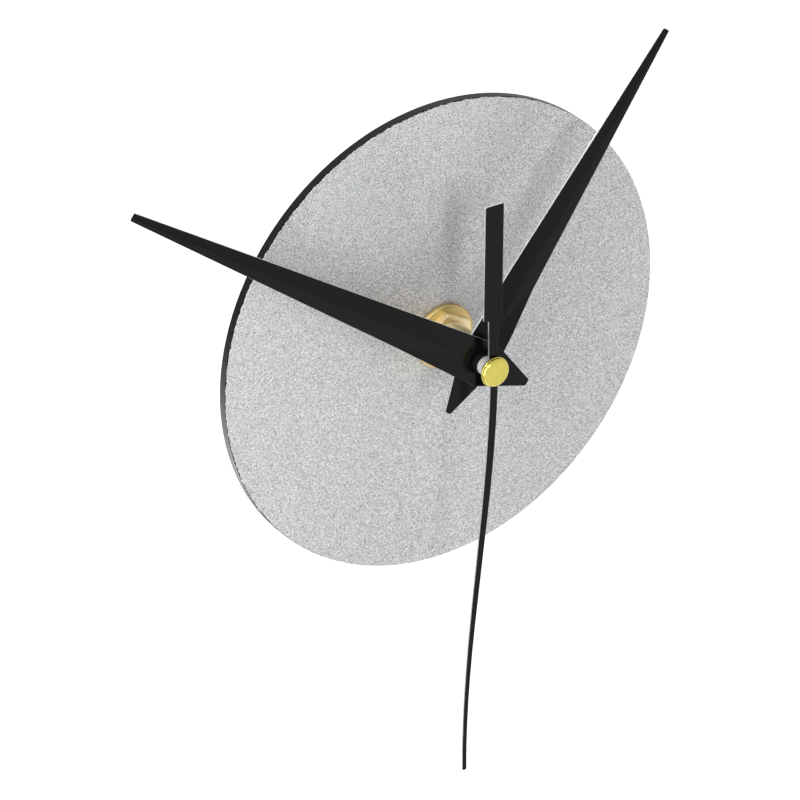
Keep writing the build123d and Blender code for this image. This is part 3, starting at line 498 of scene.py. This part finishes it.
def turned(bm, profile, steps, closed=True):
    """Spins an outline of (radius, y) corners round the hand axis."""
    corners = [bm.verts.new((radius, y, 0.0)) for radius, y in profile]
    loop = [bm.edges.new((corners[i - 1], corners[i])) for i in range(0 if closed else 1, len(corners))]
    bmesh.ops.spin(bm, geom=corners + loop, cent=(0, 0, 0), axis=(0, 1, 0), dvec=(0, 0, 0),
                   angle=2 * math.pi, steps=steps, use_merge=True)
    bmesh.ops.remove_doubles(bm, verts=bm.verts, dist=TOUCH)
    bmesh.ops.recalc_face_normals(bm, faces=bm.faces)


def solid_copy(node):
    """The mesh of a CAD node with its corners merged and its flat faces whole."""
    bm = bmesh.new()
    bm.from_mesh(NODES[node].data)
    bmesh.ops.remove_doubles(bm, verts=bm.verts, dist=TOUCH)
    bmesh.ops.dissolve_limit(bm, angle_limit=math.radians(FLAT_DEG), verts=bm.verts, edges=bm.edges)
    bmesh.ops.recalc_face_normals(bm, faces=bm.faces)
    for face in bm.faces:
        face.smooth = False
    for edge in bm.edges:
        edge.smooth = True
    return bm


def bends(bm, low_deg, high_deg=180.0):
    """The edges at which the surface turns by an angle in this range."""
    low, high = math.radians(low_deg), math.radians(high_deg)
    return [e for e in bm.edges if e.is_manifold and low < e.calc_face_angle(0.0) <= high]


def ease(bm, edges, width, segments):
    """Rounds edges; only the new faces are shaded smooth."""
    made = bmesh.ops.bevel(bm, geom=edges, offset=width, offset_type="OFFSET", affect="EDGES",
                           segments=segments, profile=0.5, material=-1, clamp_overlap=True)
    for face in made["faces"]:
        face.smooth = True


def smooth_rounds(bm, flat_side):
    """Shades the narrow faces of rounds smooth, and leaves flats larger than a square of this side."""
    for edge in bends(bm, FLAT_DEG, ROUND_DEG):
        for face in edge.link_faces:
            face.smooth = face.calc_area() < flat_side ** 2


def hoop(bm, radius, y):
    """The edges of a turned piece that run round at this radius and height."""
    return [e for e in bm.edges if all(abs(v.co.xz.length - radius) < TOUCH and abs(v.co.y - y) < TOUCH
                                       for v in e.verts)]


def smooth_under(bm, limit_deg):
    """Shades a turned piece smooth, but for its sharp edges."""
    for face in bm.faces:
        face.smooth = True
    for edge in bends(bm, limit_deg):
        edge.smooth = False


def piece(name, bm, material, node, instead=True):
    """Makes an object of a finished bmesh that moves with a CAD node, instead of it or beside it."""
    mesh = bpy.data.meshes.new(name)
    bm.to_mesh(mesh)
    bm.free()
    mesh.materials.append(material)
    obj = bpy.data.objects.new(name, mesh)
    bpy.context.scene.collection.objects.link(obj)
    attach(obj, NODES[node]["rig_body"])
    if instead:
        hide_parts(node)
    return obj


class MakeFace(bpy.types.Operator):
    """Make the silver film with its torn edge, and finish the black board behind it"""

    bl_idname = "wall_clock.make_face"
    bl_label = "Make Face"

    def execute(self, context):
        kit = finishes(context)
        sizes = context.scene.clock_sizes
        low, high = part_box("dial_film")
        flat = Matrix.Translation((0, high.y, 0)) @ Matrix.Rotation(math.pi / 2, 4, "X")
        bm = bmesh.new()
        rim = bmesh.ops.create_circle(bm, segments=sizes.film_steps, radius=high.x, matrix=flat)["verts"]
        for vert in rim:
            around = math.atan2(vert.co.z, vert.co.x) - sizes.tear_side
            nick = vert.co / sizes.tear_size
            torn = 1.0 + noise.noise(nick) + noise.noise(nick * sizes.tear_detail)
            share = sizes.tear_even + (1.0 - sizes.tear_even) * math.cos(around)
            back = sizes.tear * max(0.0, torn) * max(0.0, share)
            vert.co.xz *= 1 - back / high.x
        bmesh.ops.create_circle(bm, segments=sizes.turned_steps, matrix=flat,
                                radius=sizes.thread_r + sizes.stem_room)
        bmesh.ops.bridge_loops(bm, edges=bm.edges)
        bmesh.ops.recalc_face_normals(bm, faces=bm.faces)
        sheet = bmesh.ops.extrude_face_region(bm, geom=bm.faces)["geom"]
        front = [item for item in sheet if isinstance(item, bmesh.types.BMVert)]
        bmesh.ops.translate(bm, verts=front, vec=(0, low.y - high.y, 0))
        bmesh.ops.recalc_face_normals(bm, faces=bm.faces)
        piece("film", bm, kit["film"], "dial_film")
        wear("dial_board", kit["board"])
        wear("rubber_washer", kit["rubber"])
        return {"FINISHED"}


class MakeFixing(bpy.types.Operator):
    """Make the washer, the nut and the threaded stem"""

    bl_idname = "wall_clock.make_fixing"
    bl_label = "Make Washer, Nut and Stem"

    def execute(self, context):
        kit = finishes(context)
        sizes = context.scene.clock_sizes
        self.washer(sizes, kit["brass"])
        nut = solid_copy("hex_nut")
        ease(nut, bends(nut, FACET_DEG), sizes.nut_edge, segments=3)
        piece("nut", nut, kit["nut"], "hex_nut")
        self.stem(sizes, kit["nut"])
        return {"FINISHED"}

    @staticmethod
    def washer(sizes, brass):
        """A thick turned washer with a rounded rim, which hangs on the stem."""
        low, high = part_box("brass_washer")
        hole = sizes.thread_r + sizes.stem_room
        bm = bmesh.new()
        turned(bm, [(hole, high.y), (sizes.washer_r, high.y), (sizes.washer_r, low.y), (hole, low.y)],
               sizes.turned_steps)
        middle = (hole + sizes.washer_r) / 2
        rim = [e for e in bends(bm, SHARP_DEG) if min(v.co.xz.length for v in e.verts) > middle]
        ease(bm, rim, sizes.washer_edge, segments=5)
        smooth_under(bm, SHADE_DEG)
        bmesh.ops.translate(bm, verts=bm.verts, vec=(0, 0, -sizes.washer_play))
        piece("washer", bm, brass, "brass_washer")

    @staticmethod
    def stem(sizes, brass):
        """A hollow stem with its flange, and a thread that is spun round it as one long tooth."""
        low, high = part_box("threaded_stem")
        core = sizes.thread_r - sizes.thread_depth
        flange_front = high.y - sizes.stem_flange
        eased = low.y + sizes.thread_depth
        bm = bmesh.new()
        turned(bm, [(sizes.stem_bore, high.y), (high.x, high.y), (high.x, flange_front), (core, flange_front),
                    (core, eased), (core - sizes.thread_depth / 2, low.y), (sizes.stem_bore, low.y)],
               sizes.turned_steps)
        # The thread runs from the face to the stem's eased end, sunk a little into the core
        sunk = core - sizes.thread_depth / 4
        root, crest = sizes.thread_root / 2, sizes.thread_crest / 2
        tooth = [(sunk, -root), (core, -root), (sizes.thread_r, -crest), (sizes.thread_r, crest),
                 (core, root), (sunk, root)]
        section = bm.faces.new([bm.verts.new((radius, FACE_Y + y, 0)) for radius, y in tooth])
        turns = int((FACE_Y - eased) / sizes.thread_pitch)
        steps = sizes.turned_steps // 2
        bmesh.ops.spin(bm, geom=[section], cent=(0, 0, 0), axis=(0, 1, 0),
                       dvec=(0, -sizes.thread_pitch / steps, 0), angle=2 * math.pi * turns,
                       steps=steps * turns)
        bmesh.ops.recalc_face_normals(bm, faces=bm.faces)
        smooth_under(bm, ROUND_DEG)
        piece("stem", bm, brass, "threaded_stem")


class MakeHands(bpy.types.Operator):
    """Make the three hands with eased edges and the button, and finish the collets"""

    bl_idname = "wall_clock.make_hands"
    bl_label = "Make Hands"

    def execute(self, context):
        kit = finishes(context)
        sizes = context.scene.clock_sizes
        for node, coat in (("hour_hand", "satin"), ("minute_hand", "gloss"), ("second_hand", "gloss")):
            bm = solid_copy(node)
            crease = [e for e in bends(bm, CREASE_DEG, ROUND_DEG) if e.calc_length() > sizes.crease_least]
            ease(bm, crease, sizes.hand_crease, segments=3)
            through = [e for e in bends(bm, CORNER_DEG)
                       if abs((e.verts[0].co - e.verts[1].co).normalized().y) > UPRIGHT]
            ends = [e for e in through if e.verts[0].co.xz.length > sizes.hand_hub]
            ease(bm, ends, sizes.hand_corner, segments=4)
            ease(bm, bends(bm, SHARP_DEG), sizes.hand_edge, segments=2)
            piece(node.replace("hand", "blade"), bm, kit[coat], node)
        wear("hour_collet", kit["brass"])
        wear("minute_collet", kit["brass"])
        self.button(sizes, kit["button"])
        return {"FINISHED"}

    @staticmethod
    def button(sizes, brass):
        """A turned button with a flat cap, a bead round it, and a tube that holds the hand."""
        low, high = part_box("second_button")
        bead_r = high.x
        step = low.y + sizes.cap_t
        under = step + sizes.bead_t
        foot = low.y + sizes.button_t
        bm = bmesh.new()
        turned(bm, [(0, low.y), (sizes.cap_r, low.y), (sizes.cap_r, step), (bead_r, step), (bead_r, under),
                    (sizes.button_foot_r, foot), (sizes.button_tube_r, foot), (sizes.button_tube_r, high.y),
                    (0, high.y)], sizes.turned_steps, closed=False)
        ease(bm, hoop(bm, bead_r, step) + hoop(bm, bead_r, under), sizes.bead_edge, segments=4)
        ease(bm, hoop(bm, sizes.cap_r, low.y), sizes.cap_edge, segments=8)
        smooth_under(bm, SHADE_DEG)
        piece("button", bm, brass, "second_button")


class DressCase(bpy.types.Operator):
    """Make the moulded shells, the setting knob and the marks, and finish the screws and the hanger"""

    bl_idname = "wall_clock.dress_case"
    bl_label = "Dress Case"

    def execute(self, context):
        kit = finishes(context)
        sizes = context.scene.clock_sizes
        for node in ("front_case", "rear_cover", "set_knob"):
            bm = solid_copy(node)
            smooth_rounds(bm, sizes.case_flat)
            ease(bm, bends(bm, SHARP_DEG), sizes.case_edge, segments=3)
            piece("moulded_" + node, bm, kit["case"], node)
        self.marks(sizes, kit["case"])
        wear("middle_plate", kit["case"])
        for node in ("case_screws", "hanger"):
            wear(node, kit["nickel"])
        return {"FINISHED"}

    @staticmethod
    def marks(sizes, plastic):
        """Raised plus and minus over the ends of the cell."""
        low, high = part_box("battery")
        middle = (low.x + high.x) / 2
        arm = (sizes.mark - sizes.mark_line) / 2
        above = (sizes.mark_line + arm) / 2
        bars = [(middle - sizes.mark_apart, 0, sizes.mark, sizes.mark_line),
                (middle + sizes.mark_apart, 0, sizes.mark, sizes.mark_line),
                (middle + sizes.mark_apart, above, sizes.mark_line, arm),
                (middle + sizes.mark_apart, -above, sizes.mark_line, arm)]
        bm = bmesh.new()
        for x, up, wide, tall in bars:
            place = Matrix.Translation((x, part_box("rear_cover")[1].y, high.z + sizes.mark_above + up))
            bmesh.ops.create_cube(bm, matrix=place @ Matrix.Diagonal((wide, sizes.mark_raised * 2, tall, 1)))
        piece("polarity_marks", bm, plastic, "rear_cover", instead=False)


class DressWorks(bpy.types.Operator):
    """Finish the train, the motor, the circuit and the cell"""

    bl_idname = "wall_clock.dress_works"
    bl_label = "Dress Works"

    def execute(self, context):
        kit = finishes(context)
        groups = {
            "acetal": ("minute_arbor", "minute_works_wheel", "hour_wheel", "centre_wheel", "third_wheel",
                       "step_wheel", "rotor_pinion", "coil_bobbin"),
            "nickel": ("clutch_spring", "second_wheel", "stator", "coil_core", "crystal", "contact_plus",
                       "contact_minus"),
            "magnet": ("rotor_magnet",),
            "wire": ("coil_winding",),
            "circuit": ("circuit_board",),
            "epoxy": ("chip",),
            "cell": ("battery",),
        }
        for key, nodes in groups.items():
            for node in nodes:
                wear(node, kit[key])
        return {"FINISHED"}


class SetStage(bpy.types.Operator):
    """Set the floor, the soft lamps, the white surroundings and the camera"""

    bl_idname = "wall_clock.set_stage"
    bl_label = "Set Stage"

    def execute(self, context):
        scene = context.scene
        studio = scene.clock_studio
        scene.view_settings.view_transform = "Standard"
        self.surroundings(scene, studio)
        self.floor(scene, studio)
        middle = Vector((0.0, FACE_Y, 0.0))
        for kind in LAMPS:
            self.lamp(scene, kind, middle, getattr(studio, kind.name))
        self.camera(scene, studio, middle)
        return {"FINISHED"}

    @staticmethod
    def seen(tree):
        """1 for what the eye sees, directly, mirrored or through a clear piece, and 0 for plain light."""
        path = add(tree, "ShaderNodeLightPath")
        mirrored = add(tree, "ShaderNodeMath", {0: path.outputs["Is Camera Ray"],
                                                1: path.outputs["Is Glossy Ray"]}, operation="MAXIMUM")
        return add(tree, "ShaderNodeMath", {0: mirrored.outputs[0], 1: path.outputs["Is Transmission Ray"]},
                   operation="MAXIMUM").outputs[0]

    def surroundings(self, scene, studio):
        """Surroundings that are white to the eye and in reflections, and softer as light on the clock."""
        world = bpy.data.worlds.new("studio")
        scene.world = world
        world.use_nodes = True
        tree = world.node_tree
        tree.nodes.clear()
        level = add(tree, "ShaderNodeMapRange", {"Value": self.seen(tree), "To Min": studio.sky,
                                                 "To Max": 1.0})
        sky = add(tree, "ShaderNodeBackground", {"Color": linear("#FFFFFF"),
                                                 "Strength": level.outputs["Result"]})
        add(tree, "ShaderNodeOutputWorld", {"Surface": sky.outputs["Background"]})

    def floor(self, scene, studio):
        """A floor of white paper, lifted to full white where it is seen."""
        bm = bmesh.new()
        bmesh.ops.create_grid(bm, x_segments=1, y_segments=1, size=studio.floor_half)
        bmesh.ops.translate(bm, verts=bm.verts, vec=(0, 0, -studio.floor_drop))
        mesh = bpy.data.meshes.new("floor")
        bm.to_mesh(mesh)
        bm.free()
        floor = bpy.data.objects.new("floor", mesh)
        scene.collection.objects.link(floor)
        material = bpy.data.materials.new("white_paper")
        material.use_nodes = True
        tree = material.node_tree
        tree.nodes.clear()
        glow = add(tree, "ShaderNodeMapRange", {"Value": self.seen(tree), "To Max": studio.glow})
        paper = add(tree, "ShaderNodeBsdfDiffuse", {"Color": studio.paper})
        light = add(tree, "ShaderNodeEmission", {"Strength": glow.outputs["Result"]})
        both = add(tree, "ShaderNodeAddShader", {0: paper.outputs[0], 1: light.outputs[0]})
        add(tree, "ShaderNodeOutputMaterial", {"Surface": both.outputs[0]})
        mesh.materials.append(material)

    @staticmethod
    def towards(azimuth, elevation):
        """The direction from the clock to a lamp or the camera; 0 is straight in front of the face."""
        level = math.cos(elevation)
        return Vector((math.sin(azimuth) * level, -math.cos(azimuth) * level, math.sin(elevation)))

    def lamp(self, scene, kind, middle, power):
        """A soft rectangular lamp that looks at the middle of the face."""
        back = self.towards(math.radians(kind.azimuth), math.radians(kind.elevation))
        data = bpy.data.lights.new(kind.name + "_lamp", "AREA")
        data.shape = "RECTANGLE"
        data.size, data.size_y = kind.width, kind.height
        data.energy = power
        lamp = bpy.data.objects.new(kind.name + "_lamp", data)
        scene.collection.objects.link(lamp)
        lamp.location = middle + back * kind.distance
        lamp.rotation_mode = "QUATERNION"
        lamp.rotation_quaternion = (-back).to_track_quat("-Z", "Y")

    def camera(self, scene, studio, middle):
        """The camera at the photograph's side, shifted so that the clock stands where it does there."""
        back = self.towards(studio.azimuth, studio.elevation)
        right = Vector((math.cos(studio.azimuth), math.sin(studio.azimuth), 0.0))
        up = back.cross(right)
        data = bpy.data.cameras.new("camera")
        data.lens = studio.lens
        data.sensor_width = studio.sensor
        camera = bpy.data.objects.new("camera", data)
        scene.collection.objects.link(camera)
        camera.location = middle + back * studio.distance - right * studio.across - up * studio.above
        camera.rotation_mode = "QUATERNION"
        camera.rotation_quaternion = Matrix((right, up, back)).transposed().to_quaternion()
        scene.camera = camera


class ClockPanel(bpy.types.Panel):
    """Sizes, colours and steps of the wall clock"""

    bl_idname = "VIEW3D_PT_wall_clock"
    bl_label = "Wall Clock"
    bl_space_type = "VIEW_3D"
    bl_region_type = "UI"
    bl_category = "Wall Clock"

    def draw(self, context):
        layout = self.layout
        for operator in STEPS:
            layout.operator(operator.bl_idname)
        for group in (context.scene.clock_sizes, context.scene.clock_colours, context.scene.clock_studio):
            box = layout.box()
            for key in group.__annotations__:
                box.prop(group, key)


STEPS = (MakeFace, MakeFixing, MakeHands, DressCase, DressWorks, SetStage)
CLASSES = (ClockSizes, ClockColours, StudioSetup, *STEPS, ClockPanel)


def register():
    for cls in CLASSES:
        bpy.utils.register_class(cls)
    bpy.types.Scene.clock_sizes = PointerProperty(type=ClockSizes)
    bpy.types.Scene.clock_colours = PointerProperty(type=ClockColours)
    bpy.types.Scene.clock_studio = PointerProperty(type=StudioSetup)


def unregister():
    del bpy.types.Scene.clock_studio
    del bpy.types.Scene.clock_colours
    del bpy.types.Scene.clock_sizes
    for cls in reversed(CLASSES):
        bpy.utils.unregister_class(cls)


def main():
    register()
    bpy.ops.wall_clock.make_face()
    bpy.ops.wall_clock.make_fixing()
    bpy.ops.wall_clock.make_hands()
    bpy.ops.wall_clock.dress_case()
    bpy.ops.wall_clock.dress_works()
    bpy.ops.wall_clock.set_stage()


if __name__ == "__main__":
    main()
